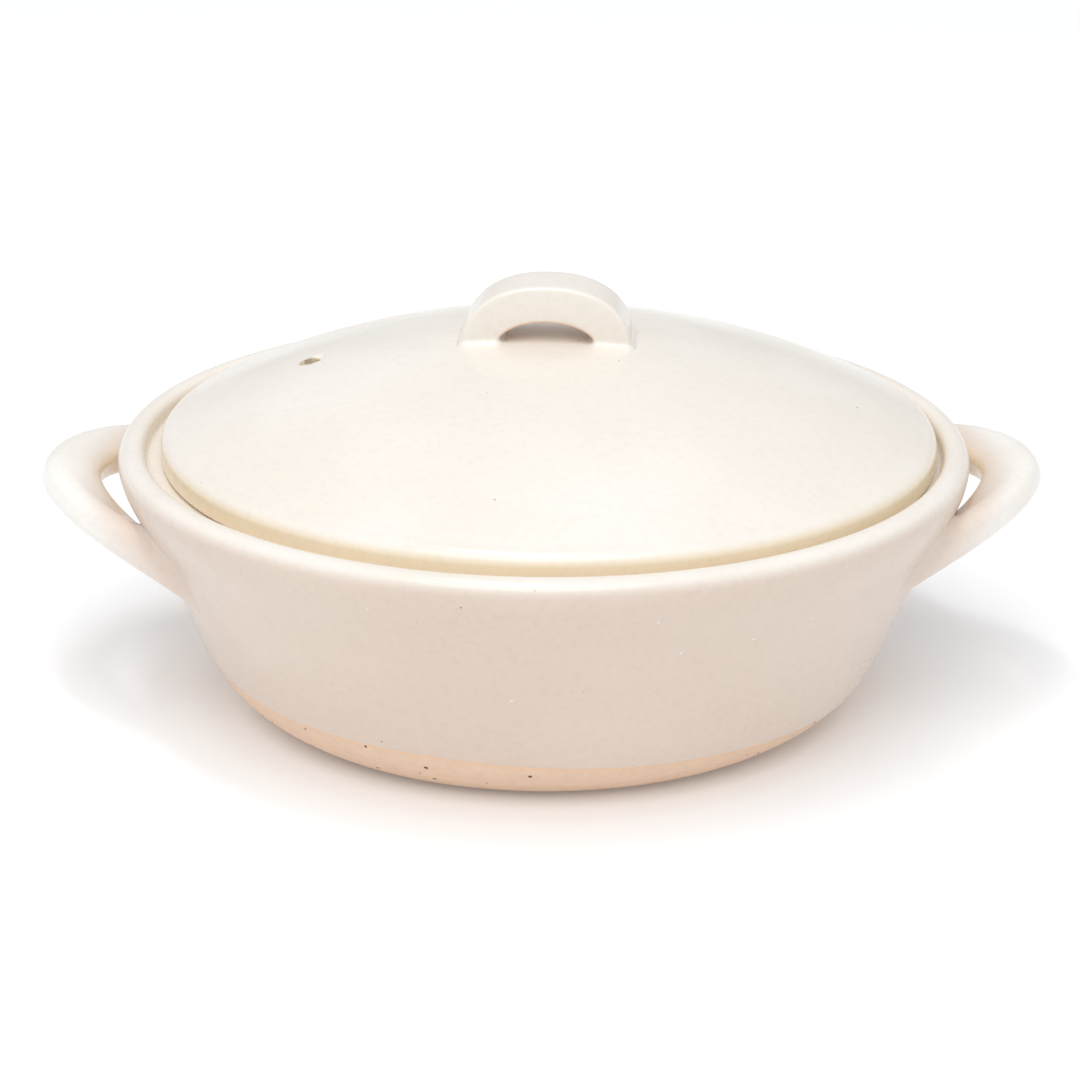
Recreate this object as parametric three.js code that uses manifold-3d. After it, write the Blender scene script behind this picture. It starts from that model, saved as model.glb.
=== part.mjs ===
// A round stoneware casserole: a flared bowl with two looped side handles, and a domed lid
// with a strap handle that sits in a recessed seat inside the bowl's rim.
// Millimetres, +Z up, the handles on the X axis, origin on the ground under the bowl's centre.
import * as THREE from "three";
import { mergeVertices } from "three/addons/utils/BufferGeometryUtils.js";
import Module from "manifold-3d";

const wasm = await Module();
wasm.setup();

// ---- driving dimensions -------------------------------------------------------------------

const LATHE_SEGMENTS = 60;
const CURVE_STEPS = 4;
const JOINT_GAP = 0.3;

// Bowl
const FOOT_R = 81.5;
const FOOT_RECESS_R = 60;
const FOOT_RECESS = 1.2;
const HEEL_R = 101.7;
const HEEL_Z = 15.4;
const WAIST_R = 113.4;
const WAIST_Z = 42.3;
const NECK_R = 121.2;
const NECK_Z = 60;
const RIM_R = 127.5;
const RIM_Z = 75.6;
const BOWL_HEIGHT = 80.2;
const RIM_CREST_R = 123.2;
const RIM_INNER_R = 119.6;
const SEAT_OUTER_R = 118.2;
const SEAT_INNER_R = 108;
const SEAT_Z = 75;
const SEAT_EDGE = 1.5;
const FLOOR_Z = 7.8;
const FLOOR_R = 78;

// Lid
const LID_OFFSET_X = 1.5;
const LID_R = 116.1;
const LID_BOTTOM_Z = SEAT_Z + JOINT_GAP;
const LID_APEX_Z = 111.2;
const DOME_RADIUS = 250;
const DOME_EDGE_R = 112.3;
const LID_THICKNESS = 6.5;
const LID_HOLLOW_R = 106.5;
const VENT_R = 3.2;
const VENT_X = -71.7;
const VENT_Y = 5.8;

// Lid handle: a strap bent to an arch, set a little off the lid's middle and turned a little
const STRAP_WIDTH = 19;
const STRAP_BASE_Z = 109.6;
const STRAP_OUTER = [24.9, 18.3];
const STRAP_SQUARENESS = 2.2;
const STRAP_INNER = [14.6, 7.4];
const STRAP_EDGE = 1.2;
const STRAP_FOOT_DEPTH = 6;
const STRAP_OFFSET_X = -0.5;
const STRAP_TURN = THREE.MathUtils.degToRad(-3.2);

// Side handles. DROP is how far a section lies in from the tip, along X, in units of DROP_UNIT.
// Each handle was pulled by hand: the strand nearer -Y is rounder than the one nearer +Y.
const HANDLE_TIP_X = 142;
const NEAR_STRAND = { pull: 15.2, shoulder: [123.7, 45.4], root: [97.9, 51] };
const FAR_STRAND = { pull: 23, shoulder: [127.5, 46], root: [99, 48] };
const DROP_UNIT = 30;
const handleTop = (drop) => 72.6 - 7.5 * drop + 0.65 * drop ** 2;
const handleBottom = (drop) => 62 - 7.3 * drop - 1.4 * drop ** 2 - 1.04 * drop ** 4;
const handleHalfWidth = (drop) => 8.8 - 2 * drop;
const handleBank = (drop) => 0.29 - 0.16 * drop;
const HANDLE_SIDES = 18;
const HANDLE_HALF_STEPS = 14;
const HANDLE_SQUARENESS = 2.8;
const HANDLE_RIDGE = { from: 0.35, fall: 0.55, reach: 0.7 };
const RIGHT_HANDLE_SHIFT = [-1, 0, 1];
const LEFT_HANDLE_SHIFT = [0.5, 0, -1];

const GLAZE = { color: 0xefe6d8, roughness: 0.45, metalness: 0 };

// ---- solids -------------------------------------------------------------------------------

function toSolid(geometry) {
  const bare = geometry.clone();
  bare.deleteAttribute("normal");
  bare.deleteAttribute("uv");
  const merged = mergeVertices(bare, 1e-4);
  return new wasm.Manifold(
    new wasm.Mesh({
      numProp: 3,
      vertProperties: merged.attributes.position.array,
      triVerts: new Uint32Array(merged.index.array),
    }),
  );
}

function toGeometry(solid) {
  const mesh = solid.getMesh();
  const geometry = new THREE.BufferGeometry();
  geometry.setAttribute(
    "position",
    new THREE.BufferAttribute(mesh.vertProperties, mesh.numProp),
  );
  geometry.setIndex(new THREE.BufferAttribute(mesh.triVerts, 1));
  geometry.computeVertexNormals();
  return geometry;
}

// A profile of [radius, height] points, turned about the Z axis.
function turned(path) {
  const points = path.getPoints(CURVE_STEPS);
  const geometry = new THREE.LatheGeometry(points, LATHE_SEGMENTS);
  return geometry.rotateX(Math.PI / 2);
}

function named(name, geometry) {
  const mesh = new THREE.Mesh(geometry, new THREE.MeshStandardMaterial(GLAZE));
  mesh.name = name;
  return mesh;
}

// ---- bowl ---------------------------------------------------------------------------------

// The outside of the bowl, from the foot's edge to the crest of the rim.
function outerWall(path) {
  path.bezierCurveTo(FOOT_R + 8, 1.2, HEEL_R - 4.2, HEEL_Z - 7.9, HEEL_R, HEEL_Z);
  path.bezierCurveTo(HEEL_R + 3, HEEL_Z + 6.1, WAIST_R - 5.7, WAIST_Z - 12.3, WAIST_R, WAIST_Z);
  path.bezierCurveTo(WAIST_R + 3.3, WAIST_Z + 7.1, NECK_R - 3.2, NECK_Z - 5.5, NECK_R, NECK_Z);
  path.bezierCurveTo(NECK_R + 2.8, NECK_Z + 4.8, RIM_R, RIM_Z - 5, RIM_R, RIM_Z);
  path.bezierCurveTo(RIM_R, RIM_Z + 3.7, RIM_CREST_R + 2.5, BOWL_HEIGHT, RIM_CREST_R, BOWL_HEIGHT);
}

// The crest's inner side, the seat for the lid and its rounded edge.
function seat(path) {
  path.quadraticCurveTo(RIM_INNER_R, BOWL_HEIGHT, RIM_INNER_R, SEAT_Z + 1.8);
  path.quadraticCurveTo(RIM_INNER_R, SEAT_Z, SEAT_OUTER_R, SEAT_Z);
  path.lineTo(SEAT_INNER_R + SEAT_EDGE, SEAT_Z);
  path.quadraticCurveTo(SEAT_INNER_R, SEAT_Z, SEAT_INNER_R, SEAT_Z - SEAT_EDGE);
}

function innerWall(path) {
  path.bezierCurveTo(SEAT_INNER_R - 0.8, 60, SEAT_INNER_R - 1, 50, SEAT_INNER_R - 4.5, 36);
  path.bezierCurveTo(SEAT_INNER_R - 8, 24, FLOOR_R + 17.5, FLOOR_Z, FLOOR_R, FLOOR_Z);
  path.lineTo(0, FLOOR_Z);
}

function bowl() {
  const path = new THREE.Path();
  path.moveTo(0, FOOT_RECESS);
  path.lineTo(FOOT_RECESS_R, FOOT_RECESS);
  path.lineTo(FOOT_RECESS_R + 2, 0);
  path.lineTo(FOOT_R, 0);
  outerWall(path);
  seat(path);
  innerWall(path);
  return turned(path);
}

// The bowl as one filled body, a joint gap larger all round, for trimming the handles' roots.
function bowlEnvelope() {
  const path = new THREE.Path();
  path.moveTo(0, 0);
  path.lineTo(FOOT_R, 0);
  outerWall(path);
  path.lineTo(0, BOWL_HEIGHT);
  const grow = 1 + JOINT_GAP / WAIST_R;
  return toSolid(turned(path).scale(grow, grow, 1));
}

// ---- side handles -------------------------------------------------------------------------

// The handle's centre line in plan, from the root at -Y round the tip to the one at +Y.
// nearSide is -1 where the strand at -Y is the near one, 1 where it is the one at +Y.
function handlePlan(nearSide) {
  const half = ({ pull, shoulder, root }) =>
    new THREE.CubicBezierCurve(
      new THREE.Vector2(HANDLE_TIP_X, 0),
      new THREE.Vector2(HANDLE_TIP_X, pull),
      new THREE.Vector2(...shoulder),
      new THREE.Vector2(...root),
    );
  const near = half(NEAR_STRAND);
  const far = half(FAR_STRAND);
  const stations = [];
  for (let i = -HANDLE_HALF_STEPS; i <= HANDLE_HALF_STEPS; i++) {
    const t = Math.abs(i) / HANDLE_HALF_STEPS;
    const side = Math.sign(i) || 1;
    const curve = side === nearSide ? near : far;
    const point = curve.getPoint(t);
    const run = curve.getTangent(t);
    stations.push({
      x: point.x,
      y: side * point.y,
      outward: new THREE.Vector3(run.y, -side * run.x, 0).normalize(),
      sloped: side === nearSide,
    });
  }
  return stations;
}

// One rounded section, square to the run and banked so that its outer edge is the higher one.
// On the near strand its top falls away towards the bowl from a low ridge.
function handleRing({ x, y, outward, sloped }) {
  const drop = (HANDLE_TIP_X - x) / DROP_UNIT;
  const top = handleTop(drop);
  const bottom = handleBottom(drop);
  const centre = new THREE.Vector3(x, y, (top + bottom) / 2);
  const bank = handleBank(drop);
  const power = 2 / HANDLE_SQUARENESS;
  const rounded = (value) => Math.sign(value) * Math.abs(value) ** power;
  const fall = sloped ? HANDLE_RIDGE.fall * Math.min(drop / HANDLE_RIDGE.reach, 1) : 0;
  const ring = [];
  for (let i = 0; i < HANDLE_SIDES; i++) {
    const angle = (2 * Math.PI * i) / HANDLE_SIDES;
    const acrossUnit = rounded(Math.cos(angle));
    const upUnit = rounded(Math.sin(angle));
    const inward = Math.max(HANDLE_RIDGE.from - acrossUnit, 0);
    const across = acrossUnit * handleHalfWidth(drop);
    const up = ((upUnit - fall * inward * Math.max(upUnit, 0)) * (top - bottom)) / 2;
    const point = centre.clone();
    point.addScaledVector(outward, across * Math.cos(bank) - up * Math.sin(bank));
    point.z += across * Math.sin(bank) + up * Math.cos(bank);
    ring.push(point);
  }
  return { ring, centre };
}

// A closed skin over a run of rings, with a fan at each end.
function loft(rings) {
  const sides = HANDLE_SIDES;
  const points = rings.flatMap(({ ring }) => ring);
  const first = points.push(rings[0].centre) - 1;
  const last = points.push(rings[rings.length - 1].centre) - 1;
  const faces = [];
  for (let r = 0; r + 1 < rings.length; r++)
    for (let i = 0; i < sides; i++) {
      const a = r * sides + i;
      const b = r * sides + ((i + 1) % sides);
      faces.push(a, b + sides, b, a, a + sides, b + sides);
    }
  const end = (rings.length - 1) * sides;
  for (let i = 0; i < sides; i++) {
    const next = (i + 1) % sides;
    faces.push(first, i, next, last, end + next, end + i);
  }
  const geometry = new THREE.BufferGeometry().setFromPoints(points);
  geometry.setIndex(faces);
  return geometry;
}

// A handle on the +X side, moved by its own small shift and cut off at the bowl's wall.
function sideHandle(shift, nearSide) {
  const rings = handlePlan(nearSide).map(handleRing);
  const solid = toSolid(loft(rings).translate(...shift));
  return toGeometry(solid.subtract(bowlEnvelope()));
}

// ---- lid ----------------------------------------------------------------------------------

const DOME_CENTRE_Z = LID_APEX_Z - DOME_RADIUS;

// The height of a sphere about the dome's centre, at a distance from the axis.
const domeHeight = (radius, r) => DOME_CENTRE_Z + Math.sqrt(radius ** 2 - r ** 2);

// An arc about the dome's centre, from one distance from the axis to another.
function domeArc(radius, fromR, toR, steps) {
  const points = [];
  for (let i = 0; i <= steps; i++) {
    const r = fromR + ((toR - fromR) * i) / steps;
    points.push(new THREE.Vector2(r, domeHeight(radius, r)));
  }
  return points;
}

function lid() {
  const innerRadius = DOME_RADIUS - LID_THICKNESS;
  const rimTop = domeHeight(DOME_RADIUS, DOME_EDGE_R);
  const edge = new THREE.Path();
  edge.moveTo(LID_HOLLOW_R, domeHeight(innerRadius, LID_HOLLOW_R));
  edge.quadraticCurveTo(LID_HOLLOW_R + 1.6, LID_BOTTOM_Z, LID_HOLLOW_R + 4, LID_BOTTOM_Z);
  edge.lineTo(LID_R - 1.5, LID_BOTTOM_Z);
  edge.quadraticCurveTo(LID_R, LID_BOTTOM_Z, LID_R, LID_BOTTOM_Z + 1.7);
  edge.lineTo(LID_R, rimTop - 4.3);
  edge.bezierCurveTo(LID_R, rimTop - 2.4, LID_R - 1.5, rimTop - 1.1, DOME_EDGE_R, rimTop);
  const profile = [
    ...domeArc(innerRadius, 0, LID_HOLLOW_R, 9),
    ...edge.getPoints(CURVE_STEPS).slice(1),
    ...domeArc(DOME_RADIUS, DOME_EDGE_R, 0, 12).slice(1),
  ];
  const shell = new THREE.LatheGeometry(profile, LATHE_SEGMENTS).rotateX(Math.PI / 2);
  const drill = new THREE.CylinderGeometry(VENT_R, VENT_R, 40, 20).rotateX(Math.PI / 2);
  drill.translate(VENT_X, VENT_Y, LID_APEX_Z - 10);
  return toSolid(shell).subtract(toSolid(drill));
}

// ---- lid handle ---------------------------------------------------------------------------

// Points over an arch from angle 0 to PI, its corners filled out by squareness.
function archPoints(halfWidth, height, squareness, count) {
  const power = 2 / squareness;
  return Array.from({ length: count + 1 }, (_, i) => {
    const angle = (Math.PI * i) / count;
    const across = Math.cos(angle);
    return new THREE.Vector2(
      Math.sign(across) * Math.abs(across) ** power * halfWidth,
      Math.sin(angle) ** power * height,
    );
  });
}

function strapShape() {
  const [outerX, outerZ] = STRAP_OUTER.map((size) => size - STRAP_EDGE);
  const [innerX, innerZ] = STRAP_INNER.map((size) => size + STRAP_EDGE);
  return new THREE.Shape([
    new THREE.Vector2(outerX, -STRAP_FOOT_DEPTH),
    ...archPoints(outerX, outerZ, STRAP_SQUARENESS, 36),
    new THREE.Vector2(-outerX, -STRAP_FOOT_DEPTH),
    new THREE.Vector2(-innerX, -STRAP_FOOT_DEPTH),
    ...archPoints(innerX, innerZ, 2, 36).reverse(),
    new THREE.Vector2(innerX, -STRAP_FOOT_DEPTH),
  ]);
}

function lidHandle() {
  const strap = new THREE.ExtrudeGeometry(strapShape(), {
    depth: STRAP_WIDTH - 2 * STRAP_EDGE,
    bevelThickness: STRAP_EDGE,
    bevelSize: STRAP_EDGE,
    bevelSegments: 2,
  });
  strap.translate(0, 0, -STRAP_WIDTH / 2 + STRAP_EDGE).rotateX(Math.PI / 2);
  strap.rotateZ(STRAP_TURN).translate(STRAP_OFFSET_X, 0, STRAP_BASE_Z);
  const base = [
    new THREE.Vector2(0, domeHeight(DOME_RADIUS, DOME_EDGE_R)),
    ...domeArc(DOME_RADIUS + JOINT_GAP, DOME_EDGE_R, 0, 24),
  ];
  const dome = new THREE.LatheGeometry(base, LATHE_SEGMENTS).rotateX(Math.PI / 2);
  return toSolid(strap).subtract(toSolid(dome));
}

// ---- assembly -----------------------------------------------------------------------------

const pot = new THREE.Group();
pot.add(named("bowl", bowl()));
pot.add(named("side_handle_right", sideHandle(RIGHT_HANDLE_SHIFT, -1)));
const leftHandle = named("side_handle_left", sideHandle(LEFT_HANDLE_SHIFT, 1));
leftHandle.rotation.z = Math.PI;
pot.add(leftHandle);

const cover = new THREE.Group();
cover.position.x = LID_OFFSET_X;
cover.add(named("lid", toGeometry(lid())));
cover.add(named("lid_handle", toGeometry(lidHandle())));

const casserole = new THREE.Group();
casserole.add(pot, cover);

export default casserole;
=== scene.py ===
import math

import bmesh
import bpy
import numpy as np
from bpy.props import FloatProperty, FloatVectorProperty, IntProperty
from mathutils import Matrix, Vector


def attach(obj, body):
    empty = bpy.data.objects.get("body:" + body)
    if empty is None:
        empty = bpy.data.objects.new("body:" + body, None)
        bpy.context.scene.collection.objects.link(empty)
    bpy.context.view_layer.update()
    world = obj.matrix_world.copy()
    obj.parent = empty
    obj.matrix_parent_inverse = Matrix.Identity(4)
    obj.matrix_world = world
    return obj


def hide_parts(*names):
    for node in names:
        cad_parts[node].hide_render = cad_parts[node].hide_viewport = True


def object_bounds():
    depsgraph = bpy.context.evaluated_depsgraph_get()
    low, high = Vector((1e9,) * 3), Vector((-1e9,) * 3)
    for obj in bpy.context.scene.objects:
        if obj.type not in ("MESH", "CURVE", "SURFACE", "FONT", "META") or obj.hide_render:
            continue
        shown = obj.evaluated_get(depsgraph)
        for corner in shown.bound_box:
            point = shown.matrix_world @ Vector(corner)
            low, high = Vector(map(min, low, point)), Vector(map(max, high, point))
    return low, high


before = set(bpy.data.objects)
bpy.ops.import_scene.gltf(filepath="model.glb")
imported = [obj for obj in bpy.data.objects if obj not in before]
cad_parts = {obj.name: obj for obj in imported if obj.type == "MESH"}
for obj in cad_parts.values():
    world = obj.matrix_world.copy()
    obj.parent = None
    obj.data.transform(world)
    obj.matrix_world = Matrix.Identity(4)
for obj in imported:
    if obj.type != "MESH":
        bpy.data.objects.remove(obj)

bl_info = {
    "name": "Stoneware Casserole",
    "version": (1, 0, 0),
    "blender": (4, 5, 0),
    "location": "3D View > Sidebar > Casserole",
    "description": "Builds a glazed stoneware casserole with its lid and handles",
    "category": "Add Mesh",
}

CAD_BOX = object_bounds()
MM = 0.001


# ---- settings -------------------------------------------------------------------------------


class BowlSettings(bpy.types.PropertyGroup):
    """Sizes of the bowl."""

    turns: IntProperty(
        name="Turning steps", description="Steps round the bowl", default=240, min=24
    )
    waver: FloatProperty(
        name="Waver",
        description="How far the thrown wall strays from a true circle",
        default=0.35 * MM,
        unit="LENGTH",
    )
    glaze_thickness: FloatProperty(
        name="Glaze thickness",
        description="Step where the glaze ends above the bare foot",
        default=0.3 * MM,
        unit="LENGTH",
    )
    glaze_line: FloatProperty(
        name="Glaze line",
        description="Height where the glaze ends, at the front",
        default=15.0 * MM,
        unit="LENGTH",
    )
    glaze_tilt: FloatProperty(
        name="Glaze tilt",
        description="Fall of the glaze line for each unit towards the right",
        default=0.033,
    )


class LidSettings(bpy.types.PropertyGroup):
    """Sizes of the lid and its handle."""

    turns: IntProperty(
        name="Turning steps", description="Steps round the lid", default=240, min=24
    )
    waver: FloatProperty(
        name="Waver",
        description="How far the lid strays from a true circle",
        default=0.25 * MM,
        unit="LENGTH",
    )
    vent_lip: FloatProperty(
        name="Steam hole lip",
        description="Radius that the steam hole's edge is softened to",
        default=0.7 * MM,
        unit="LENGTH",
    )
    foot_fillet: FloatProperty(
        name="Foot fillet",
        description="Radius of the clay smoothed round the lid handle's feet",
        default=2.2 * MM,
        unit="LENGTH",
    )


class HandleSettings(bpy.types.PropertyGroup):
    """Sizes of the side handles."""

    root_fillet: FloatProperty(
        name="Root fillet",
        description="Radius of the clay smoothed round each root",
        default=2.0 * MM,
        unit="LENGTH",
    )


class GlazeSettings(bpy.types.PropertyGroup):
    """Colours of the glaze and the clay."""

    cream: FloatVectorProperty(
        name="Cream",
        description="Colour of the glaze where it lies thick",
        subtype="COLOR",
        default=(0.86, 0.80, 0.72),
    )
    pale: FloatVectorProperty(
        name="Pale cream",
        description="Colour of the glaze where it has pooled a little whiter",
        subtype="COLOR",
        default=(0.90, 0.85, 0.79),
    )
    pool: FloatVectorProperty(
        name="Pooled white",
        description="Colour of the glaze where it lies thickest, on the handles",
        subtype="COLOR",
        default=(0.95, 0.92, 0.88),
    )
    # Wall beige and its paler drift are partly the thinner glaze's own tone and partly painted
    # shade: a darker copy of the cream that stands for the shade on the bowl's outer wall.
    wall: FloatVectorProperty(
        name="Wall beige",
        description="Colour of the thinner glaze on the bowl's wall",
        subtype="COLOR",
        default=(0.725, 0.598, 0.505),
    )
    wall_pale: FloatVectorProperty(
        name="Pale wall beige",
        description="Colour of the wall's glaze in its paler drifts",
        subtype="COLOR",
        default=(0.75, 0.628, 0.538),
    )
    # The edge colour is painted bounce light and shade: a warm, darker tint on the lid's side face
    # and on the handles' faces turned to the wall. Darkened, it is also the bare clay at the steam
    # hole.
    edge: FloatVectorProperty(
        name="Honey edge",
        description="Colour of the glaze on the lid's edge, where it ran thin",
        subtype="COLOR",
        default=(0.94, 0.80, 0.59),
    )
    clay: FloatVectorProperty(
        name="Bare clay",
        description="Colour of the unglazed foot",
        subtype="COLOR",
        default=(0.84, 0.62, 0.465),
    )
    fringe: FloatVectorProperty(
        name="Fringe",
        description="Colour of the toasted clay just under the glaze",
        subtype="COLOR",
        default=(0.88, 0.58, 0.36),
    )
    roughness: FloatProperty(
        name="Roughness", description="Roughness of the glaze", default=0.2, subtype="FACTOR"
    )


class StageSettings(bpy.types.PropertyGroup):
    """Sizes of the studio."""

    floor_size: FloatProperty(
        name="Floor size", description="Width of the floor", default=14.0, unit="LENGTH"
    )
    lens: FloatProperty(
        name="Lens", description="Focal length on a 36 mm sensor", default=105.9
    )


# ---- curves and solids ----------------------------------------------------------------------


def bezier(p0, p1, p2, p3, steps):
    """Points along a cubic curve, without its last point."""
    t = np.linspace(0, 1, steps, endpoint=False)[:, None]
    p0, p1, p2, p3 = (np.array(p, float) for p in (p0, p1, p2, p3))
    return (1 - t) ** 3 * p0 + 3 * (1 - t) ** 2 * t * p1 + 3 * (1 - t) * t * t * p2 + t**3 * p3


def corner(p0, p1, p2, steps):
    """Points round a corner from p0 to p2, drawn towards p1, without the last point."""
    t = np.linspace(0, 1, steps, endpoint=False)[:, None]
    p0, p1, p2 = (np.array(p, float) for p in (p0, p1, p2))
    return (1 - t) ** 2 * p0 + 2 * (1 - t) * t * p1 + t * t * p2


def straight(p0, p1, steps):
    """Points along a line, without its last point."""
    t = np.linspace(0, 1, steps, endpoint=False)[:, None]
    return np.array(p0, float) * (1 - t) + np.array(p1, float) * t


def superellipse(sides, power):
    """Points round a square of half width 1, whose corners are rounder the lower power is."""
    angle = np.linspace(0, 2 * math.pi, sides, endpoint=False)
    c, s = np.cos(angle), np.sin(angle)
    reach = 2 / power
    return np.stack([np.sign(c) * np.abs(c) ** reach, np.sign(s) * np.abs(s) ** reach], 1)


def distance_outside(points, profile):
    """How far points lie outside a turned profile, and the outward normal there."""
    radius = np.hypot(points[:, 0], points[:, 1])
    flat = np.stack([radius, points[:, 2]], 1)
    start, run = profile[:-1], np.diff(profile, axis=0)
    length2 = (run**2).sum(1)
    keep = length2 > 0
    start, run, length2 = start[keep], run[keep], length2[keep]
    best = np.full(len(points), 1e9)
    sign = np.ones(len(points))
    normal = np.zeros((len(points), 2))
    for a, d, l2 in zip(start, run, length2):
        t = np.clip(((flat - a) @ d) / l2, 0, 1)
        off = flat - (a + t[:, None] * d)
        gap = np.hypot(off[:, 0], off[:, 1])
        closer = gap < best
        best[closer] = gap[closer]
        out = np.array([d[1], -d[0]]) / math.sqrt(l2)
        normal[closer] = out
        sign[closer] = np.sign(off[closer] @ out)
    lean = points[:, :2] / np.maximum(radius, 1e-9)[:, None]
    full = np.column_stack([lean * normal[:, :1], normal[:, 1]])
    return best * sign, full


def mesh_object(name, vertices, faces):
    mesh = bpy.data.meshes.new(name)
    mesh.from_pydata([tuple(v) for v in vertices], [], faces)
    mesh.update()
    thing = bpy.data.objects.new(name, mesh)
    bpy.context.scene.collection.objects.link(thing)
    return thing


def closed_loft(rings):
    """Faces over rings of equal length, with a fan over each end. Returns vertices and faces."""
    count, sides = len(rings), len(rings[0])
    vertices = [*np.concatenate(rings), rings[0].mean(0), rings[-1].mean(0)]
    first, last = count * sides, count * sides + 1
    faces = []
    for r in range(count - 1):
        for i in range(sides):
            a, b = r * sides + i, r * sides + (i + 1) % sides
            faces.append((a, b, b + sides, a + sides))
    end = (count - 1) * sides
    for i in range(sides):
        j = (i + 1) % sides
        faces.append((first, j, i))
        faces.append((last, end + i, end + j))
    return vertices, faces


def outward(thing):
    """Turns a closed mesh's faces outwards and shades it smooth."""
    bm = bmesh.new()
    bm.from_mesh(thing.data)
    bmesh.ops.remove_doubles(bm, verts=bm.verts, dist=1e-7)
    bmesh.ops.recalc_face_normals(bm, faces=bm.faces)
    if bm.calc_volume(signed=True) < 0:
        bmesh.ops.reverse_faces(bm, faces=bm.faces)
    for face in bm.faces:
        face.smooth = True
    bm.to_mesh(thing.data)
    bm.free()


def positions(mesh):
    co = np.empty(len(mesh.vertices) * 3, np.float64)
    mesh.vertices.foreach_get("co", co)
    return co.reshape(-1, 3)


def normals(mesh):
    co = np.empty(len(mesh.vertices) * 3, np.float64)
    mesh.vertices.foreach_get("normal", co)
    return co.reshape(-1, 3)


def mark(thing, name, values):
    """Stores one number for each vertex of a piece."""
    layer = thing.data.attributes.new(name, "FLOAT", "POINT")
    layer.data.foreach_set("value", values.astype(np.float32))


def set_positions(mesh, co):
    mesh.vertices.foreach_set("co", co.astype(np.float32).ravel())
    mesh.update()


def fillet_to(thing, outside, radius):
    """Flares a piece where it meets a wall, as if clay were smoothed round the joint.

    outside(points) gives each point's distance outside the wall and the wall's normal.
    """
    co, lean = positions(thing.data), normals(thing.data)
    gap, wall = outside(co)
    along = lean - (lean * wall).sum(1)[:, None] * wall
    reach = np.clip(radius - np.maximum(gap, 0), 0, radius)
    push = radius - np.sqrt(radius**2 - reach**2)
    set_positions(thing.data, co + along * push[:, None])


# ---- the bowl's and the lid's profiles ------------------------------------------------------
# Millimetres, as (radius, height).

FOOT_R, FOOT_EDGE, RECESS_R, RECESS = 81.5, 0.8, 60.0, 1.2
HEEL, WAIST, NECK, RIM = (101.7, 15.4), (113.4, 42.3), (121.2, 60.0), (127.5, 75.6)
TOP_Z, CREST_R = 80.2, 123.2
SEAT_Z, SEAT_WALL_R, SEAT_OUTER_R, SEAT_INNER_R, SEAT_EDGE = 75.0, 119.6, 118.2, 108.0, 1.5
FLOOR_Z, FLOOR_R = 7.8, 78.0

LID_X, LID_R, LID_BOTTOM_Z, LID_TOP_Z = 1.5, 116.1, 75.3, 111.2
DOME_R, DOME_EDGE_R, LID_THICKNESS, LID_HOLLOW_R = 250.0, 112.3, 6.5, 106.5
VENT_R, VENT_AT = 3.2, (-71.7, 5.8)


def outer_wall():
    """The bowl's outside, from the foot's edge up to the rim's crest."""
    (hr, hz), (wr, wz), (nr, nz), (rr, rz) = HEEL, WAIST, NECK, RIM
    foot_edge = (FOOT_R + FOOT_EDGE, 0.25)
    return np.vstack(
        [
            corner((FOOT_R - FOOT_EDGE, 0), (FOOT_R, 0), foot_edge, 5),
            bezier(foot_edge, (FOOT_R + 8, 1.4), (hr - 4.2, hz - 7.9), HEEL, 44),
            bezier(HEEL, (hr + 3, hz + 6.1), (wr - 5.7, wz - 12.3), WAIST, 30),
            bezier(WAIST, (wr + 3.3, wz + 7.1), (nr - 3.2, nz - 5.5), NECK, 16),
            bezier(NECK, (nr + 2.8, nz + 4.8), (rr, rz - 5), RIM, 22),
            bezier(RIM, (rr, rz + 2.6), (CREST_R + 2.5, TOP_Z), (CREST_R, TOP_Z), 18),
        ]
    )


def bowl_profile():
    """The whole bowl, from the middle of its underside round to the middle of its floor."""
    seat_end = (SEAT_INNER_R + SEAT_EDGE, SEAT_Z)
    lip_end = (SEAT_INNER_R, SEAT_Z - SEAT_EDGE)
    belly, floor_end = (SEAT_INNER_R - 4.5, 36), (FLOOR_R, FLOOR_Z)
    return np.vstack(
        [
            straight((0, RECESS), (RECESS_R, RECESS), 14),
            corner((RECESS_R, RECESS), (RECESS_R + 1, RECESS), (RECESS_R + 1.4, RECESS / 2), 4),
            corner((RECESS_R + 1.4, RECESS / 2), (RECESS_R + 1.8, 0), (RECESS_R + 3, 0), 4),
            straight((RECESS_R + 3, 0), (FOOT_R - FOOT_EDGE, 0), 6),
            outer_wall(),
            corner((CREST_R, TOP_Z), (SEAT_WALL_R, TOP_Z), (SEAT_WALL_R, SEAT_Z + 1.8), 16),
            corner((SEAT_WALL_R, SEAT_Z + 1.8), (SEAT_WALL_R, SEAT_Z), (SEAT_OUTER_R, SEAT_Z), 6),
            straight((SEAT_OUTER_R, SEAT_Z), seat_end, 10),
            corner(seat_end, (SEAT_INNER_R, SEAT_Z), lip_end, 7),
            bezier(lip_end, (SEAT_INNER_R - 0.8, 60), (SEAT_INNER_R - 1, 50), belly, 26),
            bezier(belly, (SEAT_INNER_R - 8, 24), (FLOOR_R + 17.5, FLOOR_Z), floor_end, 30),
            straight(floor_end, (0, FLOOR_Z), 18),
            [(0, FLOOR_Z)],
        ]
    )


def dome_height(radius, r):
    """Height of the dome of this radius at distance r from the lid's axis."""
    return LID_TOP_Z - DOME_R + np.sqrt(radius**2 - r**2)


def dome_arc(radius, start, end, steps):
    r = np.linspace(start, end, steps, endpoint=False)
    return np.stack([r, dome_height(radius, r)], 1)


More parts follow.
